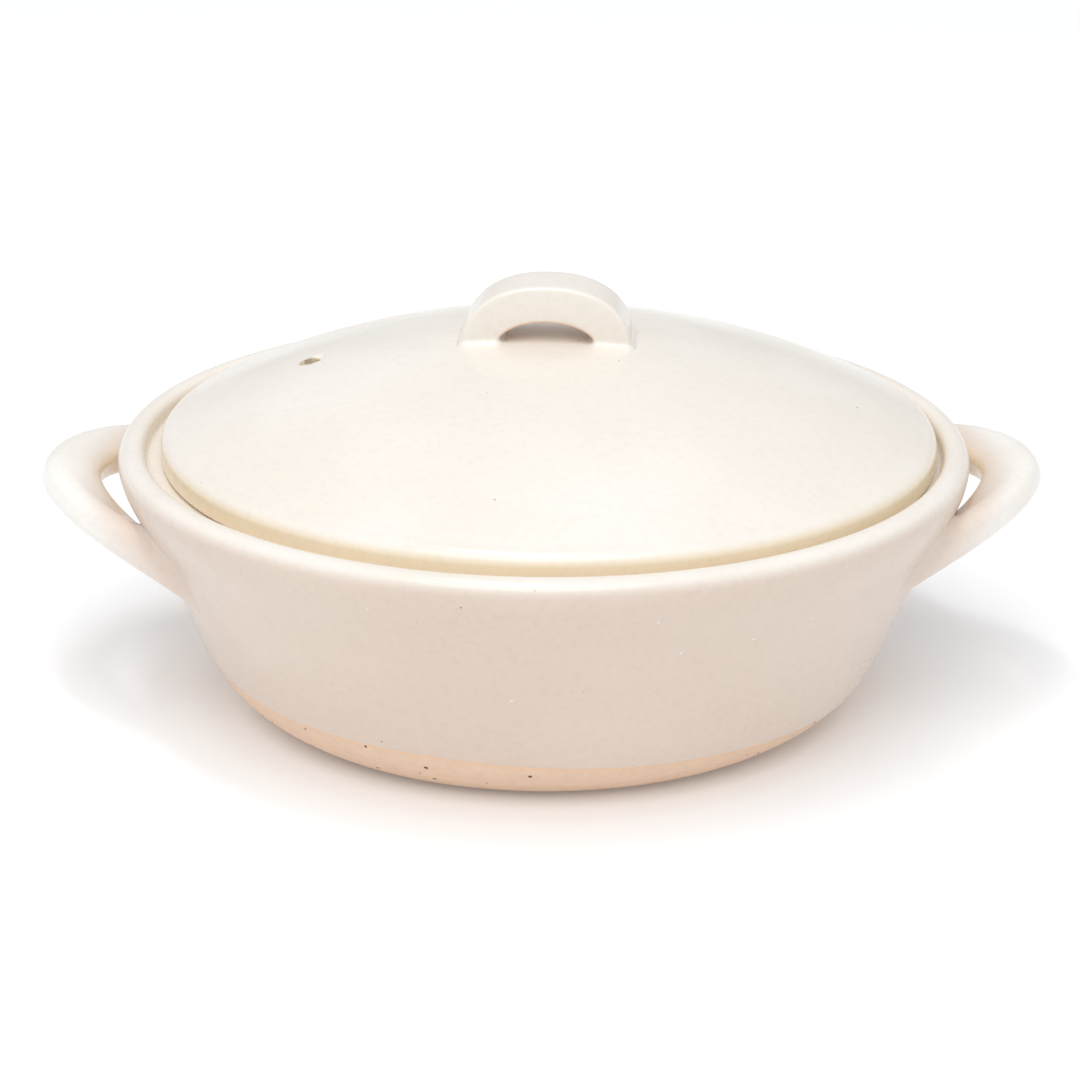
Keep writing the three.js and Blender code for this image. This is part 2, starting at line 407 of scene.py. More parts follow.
def lid_profile():
    """The whole lid, from the middle of its hollow round to its crown."""
    inner = DOME_R - LID_THICKNESS
    shoulder = float(dome_height(DOME_R, DOME_EDGE_R))
    hollow = (LID_HOLLOW_R, float(dome_height(inner, LID_HOLLOW_R)))
    under = (LID_HOLLOW_R + 4, LID_BOTTOM_Z)
    toe = (LID_R - 1.5, LID_BOTTOM_Z)
    side_low, side_high = (LID_R, LID_BOTTOM_Z + 1.7), (LID_R, shoulder - 4.3)
    crown = (DOME_EDGE_R, shoulder)
    return np.vstack(
        [
            dome_arc(inner, 0, LID_HOLLOW_R, 48),
            corner(hollow, (LID_HOLLOW_R + 1.6, LID_BOTTOM_Z), under, 10),
            straight(under, toe, 4),
            corner(toe, (LID_R, LID_BOTTOM_Z), side_low, 8),
            straight(side_low, side_high, 5),
            bezier(side_high, (LID_R, shoulder - 2.2), (LID_R - 1.5, shoulder - 0.75), crown, 16),
            dome_arc(DOME_R, DOME_EDGE_R, 0, 80),
            [(0, LID_TOP_Z)],
        ]
    )


# ---- the handles' sizes ---------------------------------------------------------------------
# Millimetres, and angles in radians. A strand is (pull at the tip, shoulder, root) in plan. Each
# of the four curves gives the powers of how far a section lies in from the tip, in DROP_UNITs.

HANDLE_TIP_X, DROP_UNIT = 142.0, 30.0
NEAR_STRAND = (15.2, (123.7, 45.4), (97.9, 51.0))
FAR_STRAND = (23.0, (127.5, 46.0), (99.0, 48.0))
HANDLE_TOP = (72.6, -7.5, 0.65)
HANDLE_BOTTOM = (62.0, -7.3, -1.4, 0.0, -1.04)
HANDLE_HALF_WIDTH = (8.8, -2.0)
HANDLE_BANK = (0.29, -0.16)
HANDLE_POWER, FAR_POWER_GAIN, FAR_POWER_REACH = 2.8, 1.6, 0.4
RIDGE_FROM, RIDGE_FALL, RIDGE_REACH = 0.35, 0.55, 0.7
HANDLE_SHIFT = {"right": (-1.0, 0, 1), "left": (0.5, 0, -1)}
HANDLE_STEPS, HANDLE_SIDES = 110, 72

STRAP_X, STRAP_TURN, STRAP_BASE_Z, STRAP_POWER = 1.0, math.radians(-3.2), 109.6, 2.2
STRAP_OUTER, STRAP_INNER, STRAP_WIDTH, STRAP_DEPTH = (24.9, 18.3), (14.6, 7.4), 19.0, 6.0
STRAP_HALF_THICKNESS, CREST_SOFTNESS, UNDER_SOFTNESS = 5.4, 1.2, 1.0


# ---- where the glaze's tone and the painted shade change ------------------------------------
# Millimetres. A tone or shade is (where it ends, how long it takes to fade out before that).

# The bowl's outer wall darkens to beige below the rim's crest: partly the thinner glaze's tone,
# partly painted shade. The faces within the bowl, the lid's side face and the handles near the wall
# take painted shade and warm bounce light.
WALL_TONE_AND_SHADE, INSIDE_SHADE, INSIDE_SHADE_SHARE = (79.6, 4.0), (79.5, 3.0), 0.2
LID_EDGE_SHADE, VENT_BARE = (84.0, 3.5), (VENT_R + 0.55, 0.4)
HANDLE_ROOT_SHADE, HANDLE_ROOT_SHADE_REACH = 1.15, 13.0
GLAZE_STEP, GROUND_CLEARANCE, FAR_ABOVE = 0.8, (1.5, 2), 20


# ---- geometry nodes -------------------------------------------------------------------------


def new_tree(name, inputs):
    """A geometry node tree from Geometry to Geometry, with (name, socket, default) inputs."""
    tree = bpy.data.node_groups.new(name, "GeometryNodeTree")
    face = tree.interface
    face.new_socket("Geometry", in_out="INPUT", socket_type="NodeSocketGeometry")
    for label, kind, default in inputs:
        socket = face.new_socket(label, in_out="INPUT", socket_type=kind)
        if default is not None:
            socket.default_value = default
    face.new_socket("Geometry", in_out="OUTPUT", socket_type="NodeSocketGeometry")
    return tree


def node(tree, kind, **values):
    made = tree.nodes.new(kind)
    for key, value in values.items():
        setattr(made, key, value)
    return made


def join(tree, *pairs):
    for out, into in pairs:
        tree.links.new(out, into)


def close_tree(tree, geometry, material):
    """Ends a tree in Realize Instances and Set Material."""
    real = node(tree, "GeometryNodeRealizeInstances")
    paint = node(tree, "GeometryNodeSetMaterial")
    out = node(tree, "NodeGroupOutput")
    join(
        tree,
        (geometry, real.inputs["Geometry"]),
        (real.outputs[0], paint.inputs["Geometry"]),
        (material, paint.inputs["Material"]),
        (paint.outputs[0], out.inputs[0]),
    )


def turned_clay_tree():
    """Turns a profile about the Z axis, with a slow waver inwards as thrown clay has."""
    tree = new_tree(
        "Turned clay",
        [
            ("Turns", "NodeSocketInt", 240),
            ("Wheel radius", "NodeSocketFloat", 0.1),
            ("Waver", "NodeSocketFloat", 0.0003),
            ("Waver scale", "NodeSocketFloat", 9.0),
            ("Material", "NodeSocketMaterial", None),
        ],
    )
    given = node(tree, "NodeGroupInput").outputs
    profile = node(tree, "GeometryNodeMeshToCurve")
    wheel = node(tree, "GeometryNodeCurvePrimitiveCircle")
    upright = node(tree, "GeometryNodeSetCurveNormal", mode="Z_UP")
    sweep = node(tree, "GeometryNodeCurveToMesh")
    weld = node(tree, "GeometryNodeMergeByDistance")
    weld.inputs["Distance"].default_value = 1e-6
    place = node(tree, "GeometryNodeInputPosition")
    flat = node(tree, "ShaderNodeVectorMath", operation="MULTIPLY")
    flat.inputs[1].default_value = (1, 1, 0)
    outwards = node(tree, "ShaderNodeVectorMath", operation="NORMALIZE")
    noise = node(tree, "ShaderNodeTexNoise")
    noise.inputs["Detail"].default_value = 1.0
    inwards = node(tree, "ShaderNodeMath", operation="SUBTRACT")
    inwards.inputs[1].default_value = 1.0
    amount = node(tree, "ShaderNodeMath", operation="MULTIPLY")
    push = node(tree, "ShaderNodeVectorMath", operation="SCALE")
    move = node(tree, "GeometryNodeSetPosition")
    smooth = node(tree, "GeometryNodeSetShadeSmooth")
    join(
        tree,
        (given["Geometry"], profile.inputs[0]),
        (given["Turns"], wheel.inputs["Resolution"]),
        (given["Wheel radius"], wheel.inputs["Radius"]),
        (wheel.outputs[0], upright.inputs[0]),
        (upright.outputs[0], sweep.inputs["Curve"]),
        (profile.outputs[0], sweep.inputs["Profile Curve"]),
        (sweep.outputs[0], weld.inputs["Geometry"]),
        (place.outputs[0], flat.inputs[0]),
        (flat.outputs[0], outwards.inputs[0]),
        (place.outputs[0], noise.inputs["Vector"]),
        (given["Waver scale"], noise.inputs["Scale"]),
        (noise.outputs[0], inwards.inputs[0]),
        (inwards.outputs[0], amount.inputs[0]),
        (given["Waver"], amount.inputs[1]),
        (outwards.outputs[0], push.inputs[0]),
        (amount.outputs[0], push.inputs["Scale"]),
        (weld.outputs[0], move.inputs["Geometry"]),
        (push.outputs[0], move.inputs["Offset"]),
        (move.outputs[0], smooth.inputs["Geometry"]),
    )
    close_tree(tree, smooth.outputs[0], given["Material"])
    return tree


def speck_tree():
    """Scatters small flattened grains over a surface, each lying in it."""
    tree = new_tree(
        "Specks",
        [
            ("Spacing", "NodeSocketFloat", 0.006),
            ("Density", "NodeSocketFloat", 2000.0),
            ("Radius", "NodeSocketFloat", 0.0003),
            ("Flatness", "NodeSocketFloat", 0.25),
            ("Seed", "NodeSocketInt", 1),
            ("Material", "NodeSocketMaterial", None),
        ],
    )
    given = node(tree, "NodeGroupInput").outputs
    scatter = node(tree, "GeometryNodeDistributePointsOnFaces", distribute_method="POISSON")
    where = node(tree, "GeometryNodeInputNamedAttribute", data_type="FLOAT")
    where.inputs["Name"].default_value = "speckled"
    grain = node(tree, "GeometryNodeMeshIcoSphere")
    grain.inputs["Subdivisions"].default_value = 2
    shape = node(tree, "ShaderNodeCombineXYZ")
    shape.inputs["X"].default_value = 1.0
    shape.inputs["Y"].default_value = 1.0
    press = node(tree, "GeometryNodeTransform")
    size = node(tree, "FunctionNodeRandomValue", data_type="FLOAT")
    size.inputs[2].default_value = 0.35
    size.inputs[3].default_value = 1.0
    put = node(tree, "GeometryNodeInstanceOnPoints")
    smooth = node(tree, "GeometryNodeSetShadeSmooth")
    join(
        tree,
        (given["Geometry"], scatter.inputs["Mesh"]),
        (given["Spacing"], scatter.inputs["Distance Min"]),
        (given["Density"], scatter.inputs["Density Max"]),
        (where.outputs["Attribute"], scatter.inputs["Density Factor"]),
        (given["Seed"], scatter.inputs["Seed"]),
        (given["Radius"], grain.inputs["Radius"]),
        (grain.outputs["Mesh"], press.inputs["Geometry"]),
        (given["Flatness"], shape.inputs["Z"]),
        (shape.outputs[0], press.inputs["Scale"]),
        (given["Seed"], size.inputs["Seed"]),
        (scatter.outputs["Points"], put.inputs["Points"]),
        (press.outputs[0], put.inputs["Instance"]),
        (scatter.outputs["Rotation"], put.inputs["Rotation"]),
        (size.outputs[1], put.inputs["Scale"]),
        (put.outputs[0], smooth.inputs["Geometry"]),
    )
    close_tree(tree, smooth.outputs[0], given["Material"])
    return tree


def grown(name, source, tree, values):
    """The plain mesh object that a node tree makes of a source object."""
    modifier = source.modifiers.new(tree.name, "NODES")
    modifier.node_group = tree
    for item in tree.interface.items_tree:
        if item.in_out == "INPUT" and item.name in values:
            modifier[item.identifier] = values[item.name]
    graph = bpy.context.evaluated_depsgraph_get()
    mesh = bpy.data.meshes.new_from_object(source.evaluated_get(graph))
    source.modifiers.remove(modifier)
    mesh.name = name
    thing = bpy.data.objects.new(name, mesh)
    bpy.context.scene.collection.objects.link(thing)
    return thing


def turned(name, profile, turns, waver, material):
    """A profile of (radius, height) in millimetres, turned into a closed solid."""
    wheel = profile[:, 0].max() * MM
    points = np.column_stack(
        [profile[:, 0] * MM - wheel, -profile[:, 1] * MM, np.zeros(len(profile))]
    )
    mesh = bpy.data.meshes.new(name + "_profile")
    mesh.from_pydata(points.tolist(), [(i, i + 1) for i in range(len(points) - 1)], [])
    source = bpy.data.objects.new(name + "_profile", mesh)
    bpy.context.scene.collection.objects.link(source)
    values = {"Turns": turns, "Wheel radius": wheel, "Waver": waver, "Material": material}
    thing = grown(name, source, turned_clay_tree(), values)
    bpy.data.objects.remove(source)
    outward(thing)
    return thing


def scattered(name, source, weights, values):
    """Specks over a source object, as dense as weights says at each of its vertices."""
    mark(source, "speckled", weights)
    thing = grown(name, source, speck_tree(), values)
    source.data.attributes.remove(source.data.attributes["speckled"])
    return thing


# ---- materials ------------------------------------------------------------------------------

CLAY_ROUGHNESS = 0.85


def new_material(name):
    """A new material with its node tree and its shader."""
    material = bpy.data.materials.new(name)
    material.use_nodes = True
    tree = material.node_tree
    shader = next(n for n in tree.nodes if n.type == "BSDF_PRINCIPLED")
    return material, tree, shader


def noise_node(tree, scale, detail=3.0, roughness=0.5):
    """Noise over the object's own coordinates."""
    coords = tree.nodes.get("Object place") or node(
        tree, "ShaderNodeTexCoord", name="Object place"
    )
    made = node(tree, "ShaderNodeTexNoise")
    made.inputs["Scale"].default_value = scale
    made.inputs["Detail"].default_value = detail
    made.inputs["Roughness"].default_value = roughness
    join(tree, (coords.outputs["Object"], made.inputs["Vector"]))
    return made


def ramp(tree, value, *stops):
    """A smooth turn between two stops of (value, colour)."""
    made = node(tree, "ShaderNodeValToRGB")
    made.color_ramp.interpolation = "EASE"
    for point, (place, colour) in zip(made.color_ramp.elements, stops):
        point.position = place
        point.color = (*colour, 1)
    join(tree, (value, made.inputs[0]))
    return made.outputs["Color"]


def times(colour, level):
    return tuple(part * level for part in colour)


def grey(level):
    return (level, level, level)


def mixed(tree, factor, first, second):
    """A colour mix by a socket. Each of first and second is a socket or a colour."""
    made = node(tree, "ShaderNodeMix", data_type="RGBA")
    join(tree, (factor, made.inputs[0]))
    for socket, value in ((made.inputs[6], first), (made.inputs[7], second)):
        if isinstance(value, bpy.types.NodeSocket):
            join(tree, (value, socket))
        else:
            socket.default_value = (*value, 1)
    return made.outputs[2]


def math_node(tree, operation, first, second):
    """A sum on two values, each a socket or a number."""
    made = node(tree, "ShaderNodeMath", operation=operation)
    for socket, value in zip(made.inputs, (first, second)):
        if isinstance(value, bpy.types.NodeSocket):
            join(tree, (value, socket))
        else:
            socket.default_value = value
    return made.outputs[0]


def glaze_colour(tree, look, thin=(), pair=None):
    """Cream with slow drifts in tone where the glaze lies thick and thin, and a fine mottle.

    Each of thin names an attribute that turns the cream to the given pair of colours; these paint
    shade and warm bounce light, and on the bowl's wall the thinner glaze's tone as well. pair
    takes the place of the cream's own two tones.
    """
    drift = noise_node(tree, 14.0, 3.0)
    deep, light = pair or (look.cream, look.pale)
    tone = ramp(tree, drift.outputs[0], (0.35, deep), (0.68, light))
    for attribute, first, second in thin:
        where = node(tree, "ShaderNodeAttribute", attribute_name=attribute)
        other = ramp(tree, drift.outputs[0], (0.35, first), (0.68, second))
        tone = mixed(tree, where.outputs["Fac"], tone, other)
    mottle = noise_node(tree, 420.0, 4.0, 0.6)
    freckle = ramp(tree, mottle.outputs[0], (0.30, grey(0.93)), (0.55, grey(1.0)))
    blend = node(tree, "ShaderNodeMix", data_type="RGBA", blend_type="MULTIPLY")
    blend.inputs[0].default_value = 0.5
    join(tree, (tone, blend.inputs[6]), (freckle, blend.inputs[7]))
    return blend.outputs[2]


def glaze_bump(tree, shader):
    """A soft orange-peel and a few wider ripples."""
    fine = noise_node(tree, 700.0, 2.0)
    wide = noise_node(tree, 60.0, 2.0)
    peel = math_node(tree, "MULTIPLY", fine.outputs[0], 0.25)
    height = math_node(tree, "ADD", peel, wide.outputs[0])
    bump = node(tree, "ShaderNodeBump")
    bump.inputs["Strength"].default_value = 0.035
    bump.inputs["Distance"].default_value = 0.4 * MM
    join(tree, (height, bump.inputs["Height"]), (bump.outputs[0], shader.inputs["Normal"]))


def glaze_roughness(tree, look):
    """Slow smears of duller and glossier glaze."""
    smear = noise_node(tree, 30.0, 3.0)
    low, high = look.roughness - 0.03, look.roughness + 0.08
    return ramp(tree, smear.outputs[0], (0.3, grey(low)), (0.7, grey(high)))


def clay_grain(tree, dark, light):
    """The fine grain of bare clay, between two tones."""
    grain = noise_node(tree, 260.0, 5.0, 0.65)
    return ramp(tree, grain.outputs[0], (0.35, dark), (0.62, light))


def glaze_material(name, look, thin=(), pair=None, bare=None):
    """Satin cream glaze. bare names an attribute that marks where the clay shows."""
    material, tree, shader = new_material(name)
    glaze_bump(tree, shader)
    colour, rough = glaze_colour(tree, look, thin, pair), glaze_roughness(tree, look)
    if bare:
        where = node(tree, "ShaderNodeAttribute", attribute_name=bare).outputs["Fac"]
        clay = clay_grain(tree, times(look.edge, 0.62), times(look.edge, 0.8))
        colour = mixed(tree, where, colour, clay)
        rough = mixed(tree, where, rough, grey(CLAY_ROUGHNESS))
    join(tree, (colour, shader.inputs["Base Color"]), (rough, shader.inputs["Roughness"]))
    shader.inputs["Specular IOR Level"].default_value = 0.5
    return material


def bowl_material(look):
    """The same glaze, and bare clay below the dipped line, which is the attribute bare_foot."""
    material, tree, shader = new_material("bowl_glaze_and_clay")
    glaze_bump(tree, shader)
    # The wall's beige is partly the thinner glaze's tone and partly painted shade.
    cream = glaze_colour(tree, look, [("glaze_tone_and_shade", look.wall, look.wall_pale)])
    line = node(tree, "ShaderNodeAttribute", attribute_name="bare_foot")
    ragged = noise_node(tree, 220.0, 3.0)
    centred = math_node(tree, "SUBTRACT", ragged.outputs[0], 0.5)
    wander = math_node(tree, "MULTIPLY", centred, 0.9)
    depth = math_node(tree, "ADD", line.outputs["Fac"], wander)
    clay = clay_grain(tree, times(look.clay, 0.95), look.clay)
    below = math_node(tree, "DIVIDE", depth, 1.3)
    toasted = ramp(tree, below, (0.0, grey(1.0)), (1.0, grey(0.0)))
    foot = mixed(tree, toasted, clay, look.fringe)
    edge = math_node(tree, "ADD", math_node(tree, "MULTIPLY", depth, 2.0), 0.5)
    bare = ramp(tree, edge, (0.3, grey(0.0)), (0.7, grey(1.0)))
    join(tree, (mixed(tree, bare, cream, foot), shader.inputs["Base Color"]))
    rough = mixed(tree, bare, glaze_roughness(tree, look), grey(CLAY_ROUGHNESS))
    join(tree, (rough, shader.inputs["Roughness"]))
    shader.inputs["Specular IOR Level"].default_value = 0.5
    return material


def speck_material(name, colour, roughness):
    """A material for specks and pits, a little uneven in tone."""
    material, tree, shader = new_material(name)
    tint = noise_node(tree, 900.0, 2.0)
    tone = ramp(tree, tint.outputs[0], (0.35, times(colour, 0.75)), (0.65, colour))
    join(tree, (tone, shader.inputs["Base Color"]))
    shader.inputs["Roughness"].default_value = roughness
    return material


# ---- pieces ---------------------------------------------------------------------------------


def fade(values, end, length):
    """0 past the end, rising to 1 over this length before it."""
    return np.clip((end - values) / length, 0, 1)


def smoothed(values):
    """Values from 0 to 1, eased at both ends."""
    return values * values * (3 - 2 * values)


def finish_piece(thing, body, slot, *nodes):
    """Says which body a piece rides and the nodes it replaces. slot is not used."""
    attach(thing, body)
    if nodes:
        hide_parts(*nodes)


class CASSEROLE_OT_bowl(bpy.types.Operator):
    """Turns the bowl and dips it in glaze, leaving its foot bare."""

    bl_idname = "casserole.bowl"
    bl_label = "Bowl"

    def execute(self, context):
        sizes, look = context.scene.casserole_bowl, context.scene.casserole_glaze
        bowl = turned(
            "glazed_bowl", bowl_profile(), sizes.turns, sizes.waver, bowl_material(look)
        )
        self.dip(bowl, sizes)
        self.thin(bowl)
        finish_piece(bowl, "pot", "bowl_glaze", "bowl")
        return {"FINISHED"}

    def thin(self, bowl):
        """Marks where the bowl turns to the wall's beige: the thinner glaze's tone and painted
        shade on the outer wall and underside, fading out towards the rim's crest, and a small share
        of painted shade on the faces within.
        """
        co, lean = positions(bowl.data), normals(bowl.data)
        radius = np.hypot(co[:, 0], co[:, 1])
        facing_out = (lean[:, :2] * co[:, :2]).sum(1) / np.maximum(radius, 1e-6)
        wall = fade(co[:, 2] / MM, *WALL_TONE_AND_SHADE)
        inside = INSIDE_SHADE_SHARE * fade(co[:, 2] / MM, *INSIDE_SHADE)
        tone = np.where((facing_out > 0.1) | (lean[:, 2] < -0.1), wall, inside)
        mark(bowl, "glaze_tone_and_shade", smoothed(tone))

    def dip(self, bowl, sizes):
        """Stands the glaze proud of the clay above its line, and marks what stays bare."""
        co, lean = positions(bowl.data), normals(bowl.data)
        angle = np.arctan2(co[:, 1], co[:, 0])
        line = sizes.glaze_line - sizes.glaze_tilt * co[:, 0]
        line += MM * (0.5 * np.sin(3 * angle + 0.6) + 0.25 * np.sin(7 * angle + 2.0))
        below = (line - co[:, 2]) / MM
        outside = lean[:, 2] < 0.5
        inside_wall = np.hypot(co[:, 0], co[:, 1]) < (FOOT_R - 2) * MM
        below = np.where(outside | inside_wall & (co[:, 2] < 2 * MM), below, -FAR_ABOVE)
        below = np.where((co[:, 2] > FLOOR_Z * MM * 0.9) & inside_wall, -FAR_ABOVE, below)
        mark(bowl, "bare_foot", np.clip(below, -FAR_ABOVE, FAR_ABOVE))
        step = smoothed(np.clip(below / GLAZE_STEP + 0.5, 0, 1))
        clear_from, clear_over = GROUND_CLEARANCE
        clear_of_ground = np.clip((co[:, 2] - clear_from * MM) / (clear_over * MM), 0, 1)
        sink = step * clear_of_ground * sizes.glaze_thickness
        set_positions(bowl.data, co - lean * sink[:, None])


def handle_half(pull, shoulder, root, steps):
    """Half of a handle's line in plan, from its tip to one root."""
    tip = np.array((HANDLE_TIP_X, 0.0))
    line = bezier(tip, (HANDLE_TIP_X, pull), shoulder, root, steps - 1)
    return np.vstack([line, root])


def side_handle_rings(front):
    """The rings of a handle on the right, from the root at -Y round the tip to the one at +Y.

    front is -1 where the strand at -Y is the one in front, and 1 where it is the one at +Y.
    """
    near = handle_half(*NEAR_STRAND, HANDLE_STEPS)
    far = handle_half(*FAR_STRAND, HANDLE_STEPS)
    first, second = (near, far) if front < 0 else (far, near)
    plan = np.vstack([first[::-1] * (1, -1), second[1:]])
    run = np.gradient(plan, axis=0)
    run /= np.linalg.norm(run, axis=1)[:, None]
    away = np.stack([run[:, 1], -run[:, 0]], 1)
    drop = (HANDLE_TIP_X - plan[:, 0]) / DROP_UNIT
    top, bottom, width, bank = (
        np.polynomial.polynomial.polyval(drop, powers)
        for powers in (HANDLE_TOP, HANDLE_BOTTOM, HANDLE_HALF_WIDTH, HANDLE_BANK)
    )
    rings = []
    for i in range(len(plan)):
        in_front = plan[i, 1] * front > 0
        squarer = 0.0 if in_front else FAR_POWER_GAIN * min(drop[i] / FAR_POWER_REACH, 1.0)
        fall = RIDGE_FALL * min(drop[i] / RIDGE_REACH, 1.0) if in_front else 0.0
        out, rise = superellipse(HANDLE_SIDES, HANDLE_POWER + squarer).T
        rise = rise - fall * np.clip(RIDGE_FROM - out, 0, None) * np.clip(rise, 0, None)
        across, up = out * width[i], rise * (top[i] - bottom[i]) / 2
        c, s = math.cos(bank[i]), math.sin(bank[i])
        level = across * c - up * s
        height = (top[i] + bottom[i]) / 2 + across * s + up * c
        flat = plan[i] + away[i] * level[:, None]
        rings.append(np.column_stack([flat, height]))
    return rings


class CASSEROLE_OT_side_handles(bpy.types.Operator):
    """Pulls the two side handles and smooths their roots on to the wall."""

    bl_idname = "casserole.side_handles"
    bl_label = "Side handles"

    def execute(self, context):
        scene = context.scene
        fillet = scene.casserole_handles.root_fillet
        look = scene.casserole_glaze
        # Painted shade: the handles take the wall's beige near their roots, and a warm darker tint
        # on their steep faces turned to the wall.
        thin = [("glaze_tone_and_shade", look.wall, look.wall_pale), ("inner_face_shade", look.edge, look.edge)]
        glaze = glaze_material("handle_glaze", look, thin, (look.pale, look.pool))
        wall = outer_wall() * MM

        def outside(points):
            return distance_outside(points, wall)

        for name, shift in HANDLE_SHIFT.items():
            side = 1 if name == "right" else -1
            rings = [
                (ring + shift) * (side, side, 1) * MM for ring in side_handle_rings(-side)
            ]
            handle = mesh_object(name + "_loop_handle", *closed_loft(rings))
            outward(handle)
            fillet_to(handle, outside, fillet)
            held = np.clip(positions(handle.data), *np.array(CAD_BOX))
            set_positions(handle.data, held)
            gap, _ = outside(held)
            # Painted shade at the roots, fading out with distance from the wall.
            tone = np.clip(HANDLE_ROOT_SHADE - gap / (HANDLE_ROOT_SHADE_REACH * MM), 0, 1)
            mark(handle, "glaze_tone_and_shade", smoothed(tone))
            # Painted shade on the steep faces turned towards the wall.
            reach = np.hypot(held[:, 0], held[:, 1])
            lean = normals(handle.data)
            facing_in = -(lean[:, :2] * held[:, :2]).sum(1) / reach
            steep = np.clip(1.35 - 1.2 * lean[:, 2], 0, 1)
            mark(handle, "inner_face_shade", 0.9 * steep * np.clip(1.6 * facing_in - 0.3, 0, 1))
            handle.data.materials.append(glaze)
            finish_piece(handle, "pot", "handle_glaze", "side_handle_" + name)
        return {"FINISHED"}


class CASSEROLE_OT_lid(bpy.types.Operator):
    """Turns the lid and drills its steam hole."""

    bl_idname = "casserole.lid"
    bl_label = "Lid"

    def execute(self, context):
        scene = context.scene
        sizes = scene.casserole_lid
        look = scene.casserole_glaze
        # The lid's side face takes the warm edge colour as painted bounce light and shade.
        thin = [("glaze_tone_and_shade", look.edge, look.edge)]
        glaze = glaze_material("lid_glaze", look, thin, bare="bare_vent")
        lid = turned("glazed_lid", lid_profile(), sizes.turns, sizes.waver, glaze)
        co = positions(lid.data)
        set_positions(lid.data, co + (LID_X * MM, 0, 0))
        self.drill(lid, sizes.vent_lip)
        co, lean = positions(lid.data), normals(lid.data)
        # Painted bounce light and shade on the lid's steep side below the crown.
        low = fade(co[:, 2] / MM, *LID_EDGE_SHADE)
        steep = np.clip(1.6 * (0.9 - lean[:, 2]), 0, 1)
        mark(lid, "glaze_tone_and_shade", low * steep)
        vent = np.array((LID_X + VENT_AT[0], VENT_AT[1])) * MM
        from_vent = np.linalg.norm(co[:, :2] - vent, axis=1) / MM
        mark(lid, "bare_vent", fade(from_vent, *VENT_BARE))
        finish_piece(lid, "cover", "lid_glaze", "lid")
        return {"FINISHED"}

    def drill(self, lid, lip):
        """Cuts the steam hole with a tool that flares at both faces, so its edges come out soft."""
        x, y = (LID_X + VENT_AT[0]) * MM, VENT_AT[1] * MM
        from_axis = math.hypot(*VENT_AT)
        top = float(dome_height(DOME_R, from_axis)) * MM
        bottom = float(dome_height(DOME_R - LID_THICKNESS, from_axis)) * MM
        radius = VENT_R * MM
        quarter = np.linspace(0, math.pi / 2, 7)
        flare = [(radius + lip * (1 - math.cos(a)), lip * (1 - math.sin(a))) for a in quarter]
        path = [(radius + 3 * lip, bottom - 4 * lip)]
        path += [(r, bottom + rise) for r, rise in flare[::-1]]
        path += [(r, top - rise) for r, rise in flare]
        path += [(radius + 3 * lip, top + 4 * lip)]
        steps = 40
        rings = [
            np.array(
                [
                    (x + r * math.cos(a), y + r * math.sin(a), z)
                    for a in np.linspace(0, 2 * math.pi, steps, endpoint=False)
                ]
            )
            for r, z in path
        ]
        tool = mesh_object("drill", *closed_loft(rings))
        outward(tool)
        cut = lid.modifiers.new("steam hole", "BOOLEAN")
        cut.operation = "DIFFERENCE"
        cut.solver = "EXACT"
        cut.object = tool
        graph = bpy.context.evaluated_depsgraph_get()
        mesh = bpy.data.meshes.new_from_object(lid.evaluated_get(graph))
        lid.modifiers.remove(cut)
        lid.data = mesh
        bpy.data.objects.remove(tool)


def lid_handle_rings():
    """Rings of the strap, from its left foot over to its right foot."""
    outer, inner, reach = np.array(STRAP_OUTER), np.array(STRAP_INNER), 2 / STRAP_POWER
    stations = [(math.pi, -z) for z in np.linspace(STRAP_DEPTH, 0, 24, endpoint=False)]
    stations += [(angle, 0.0) for angle in np.linspace(math.pi, 0, 110)]
    stations += [(0.0, -z) for z in np.linspace(0, STRAP_DEPTH, 25)[1:]]
    across, along = strap_section().T
    turn = np.array(
        [
            [math.cos(STRAP_TURN), -math.sin(STRAP_TURN)],
            [math.sin(STRAP_TURN), math.cos(STRAP_TURN)],
        ]
    )
    rings = []
    for angle, drop in stations:
        c, s = math.cos(angle), math.sin(angle)
        crest = np.array((np.sign(c) * abs(c) ** reach, s**reach)) * outer
        under = np.array((c, s)) * inner
        arch = under + (across[:, None] + 1) / 2 * (crest - under)
        level = np.column_stack([arch[:, 0], along * STRAP_WIDTH / 2]) @ turn.T
        rings.append(np.column_stack([level, arch[:, 1] + STRAP_BASE_Z + drop]))
    return rings


def strap_section():
    """The strap's section as (thickness, width) pairs from -1 to 1, with softened corners."""
    half = np.array((STRAP_HALF_THICKNESS, STRAP_WIDTH / 2))
    corners = (
        (1, 1, CREST_SOFTNESS),
        (-1, 1, UNDER_SOFTNESS),
        (-1, -1, UNDER_SOFTNESS),
        (1, -1, CREST_SOFTNESS),
    )
    pairs = []
    for quarter, (side, end, soft) in enumerate(corners):
        centre = np.array((side, end)) * (half - soft)
        for angle in np.radians(quarter * 90 + np.arange(8) * 90 / 7):
            pairs.append(centre + soft * np.array((math.cos(angle), math.sin(angle))))
    section = np.array(pairs) / half
    filled = []
    for a, b in zip(section, np.roll(section, -1, axis=0)):
        count = 8 if np.linalg.norm(b - a) > 0.5 else 1
        filled += [a + (b - a) * k / count for k in range(count)]
    return np.array(filled)


